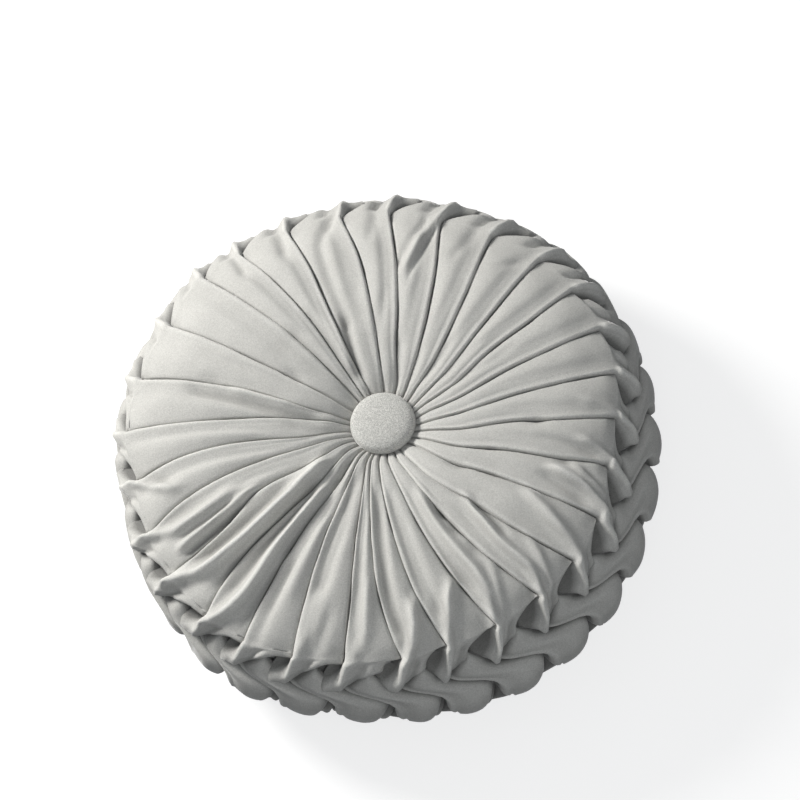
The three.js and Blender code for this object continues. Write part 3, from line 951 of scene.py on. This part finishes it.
cover_velvet = velvet("velvet", (0.509, 0.503, 0.478), grain=1200, grain_depth=0.0004,
                      flecks=(0.84, 1.14))
cover = build_cover()
cover.data.materials.append(cover_velvet)
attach(cover, "root")
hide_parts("cover")

button_velvet = velvet("button_velvet", (0.545, 0.54, 0.512), grain=1400, grain_depth=0.0003,
                       flecks=(0.56, 1.38))
for name, node in (("front_button", "button_front"), ("back_button", "button_back")):
    button = build_button(name, node)
    button.data.materials.append(button_velvet)
    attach(button, "root")
    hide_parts(node)

# Camera at the photograph's angle. DISTANCE: from the target, in metres. FOCAL_PX and TARGET_PX: focal
# length, and where the target is, in pixels of a picture FRAME_PX wide. SENSOR: mm.
ELEVATION = math.radians(64.37)
ROLL = math.radians(18.8)
DISTANCE = 1.5
TARGET = Vector((-MIDDLE[0] * MM, -MIDDLE[1] * MM, TARGET_HEIGHT))
FOCAL_PX = 2160.25
FRAME_PX = 800
TARGET_PX = (381.76, 452.05)
SENSOR = 36.0

towards = Vector((0, -math.cos(ELEVATION), math.sin(ELEVATION)))
level = Vector((1, 0, 0))
upright = towards.cross(level)
camera_up = level * math.sin(ROLL) + upright * math.cos(ROLL)
camera_right = level * math.cos(ROLL) - upright * math.sin(ROLL)
camera_data = bpy.data.cameras.new("camera")
camera_data.sensor_width = SENSOR
camera_data.lens = FOCAL_PX * SENSOR / FRAME_PX
camera_data.shift_x = (FRAME_PX / 2 - TARGET_PX[0]) / FRAME_PX
camera_data.shift_y = (TARGET_PX[1] - FRAME_PX / 2) / FRAME_PX
camera = bpy.data.objects.new("camera", camera_data)
turned = Matrix((camera_right, camera_up, towards)).transposed().to_4x4()
camera.matrix_world = Matrix.Translation(TARGET + towards * DISTANCE) @ turned
bpy.context.scene.collection.objects.link(camera)
bpy.context.scene.camera = camera
bpy.context.scene.view_settings.view_transform = "Standard"

# Floor and backdrop, in metres. Both glow a little, like paper on a light table, but not on the cushion.
FLOOR_HALF = 6.0
BACKDROP_RADIUS, BACKDROP_TOP, BACKDROP_SIDES = 5.5, 4.0, 64


def glowing_paper(name, grey, glow):
    """Matt white paper. grey: how much light it gives back. glow: how much it gives by itself."""
    paper = bpy.data.materials.new(name)
    paper.use_nodes = True
    shader = paper.node_tree.nodes["Principled BSDF"]
    shader.inputs["Base Color"].default_value = (grey, grey, grey, 1)
    shader.inputs["Roughness"].default_value = 0.9
    shader.inputs["Specular IOR Level"].default_value = 0.0
    shader.inputs["Emission Color"].default_value = (1, 1, 1, 1)
    shader.inputs["Emission Strength"].default_value = glow
    return paper


corners = [(x * FLOOR_HALF, y * FLOOR_HALF, 0) for x, y in ((-1, -1), (1, -1), (1, 1), (-1, 1))]
floor = make_object("floor", corners, [(0, 1, 2, 3)])
floor.visible_diffuse = False
floor.data.materials.append(glowing_paper("floor", grey=0.4, glow=0.72))

turns = [2 * math.pi * side / BACKDROP_SIDES for side in range(BACKDROP_SIDES)]
ring = [(BACKDROP_RADIUS * math.sin(turn), BACKDROP_RADIUS * math.cos(turn)) for turn in turns]
wall = [(*place, z) for z in (0, BACKDROP_TOP) for place in ring]
sides = [(side, (side + 1) % BACKDROP_SIDES) for side in range(BACKDROP_SIDES)]
backdrop = make_object("backdrop", wall, [(a, b, b + BACKDROP_SIDES, a + BACKDROP_SIDES) for a, b in sides])
backdrop.visible_diffuse = False
backdrop.visible_shadow = False
backdrop.data.materials.append(glowing_paper("backdrop", grey=0.4, glow=0.8))

# Soft light from the sky. Its strength grows from a little below the horizon to a little above it.
SKY_COLOUR = (0.93, 0.965, 1.0, 1)
SKY = {"From Min": -0.15, "From Max": 0.2, "To Min": 0.03, "To Max": 0.235}

world = bpy.data.worlds.new("studio")
world.use_nodes = True
sky = world.node_tree
background = sky.nodes["Background"]
background.inputs["Color"].default_value = SKY_COLOUR
direction = sky.nodes.new("ShaderNodeTexCoord")
parts = sky.nodes.new("ShaderNodeSeparateXYZ")
gradient = sky.nodes.new("ShaderNodeMapRange")
for name, value in SKY.items():
    gradient.inputs[name].default_value = value
sky.links.new(direction.outputs["Generated"], parts.inputs["Vector"])
sky.links.new(parts.outputs["Z"], gradient.inputs["Value"])
sky.links.new(gradient.outputs["Result"], background.inputs["Strength"])
bpy.context.scene.world = world


def add_lamp(name, bearing_deg, elevation_deg, distance, size, power, colour):
    """Round area light that shines on the cushion."""
    turn, rise = math.radians(bearing_deg), math.radians(elevation_deg)
    way = Vector((math.sin(turn) * math.cos(rise), math.cos(turn) * math.cos(rise), math.sin(rise)))
    data = bpy.data.lights.new(name, "AREA")
    data.shape = "DISK"
    data.size = size
    data.energy = power
    data.color = colour
    lamp = bpy.data.objects.new(name, data)
    lamp.location = TARGET + way * distance
    lamp.rotation_mode = "QUATERNION"
    lamp.rotation_quaternion = way.to_track_quat("Z", "Y")
    bpy.context.scene.collection.objects.link(lamp)


add_lamp("key", 318, 33, distance=1.35, size=0.45, power=23.5, colour=(1.0, 0.985, 0.96))
add_lamp("fill", 175, 50, distance=1.8, size=1.4, power=7, colour=(0.94, 0.97, 1.0))
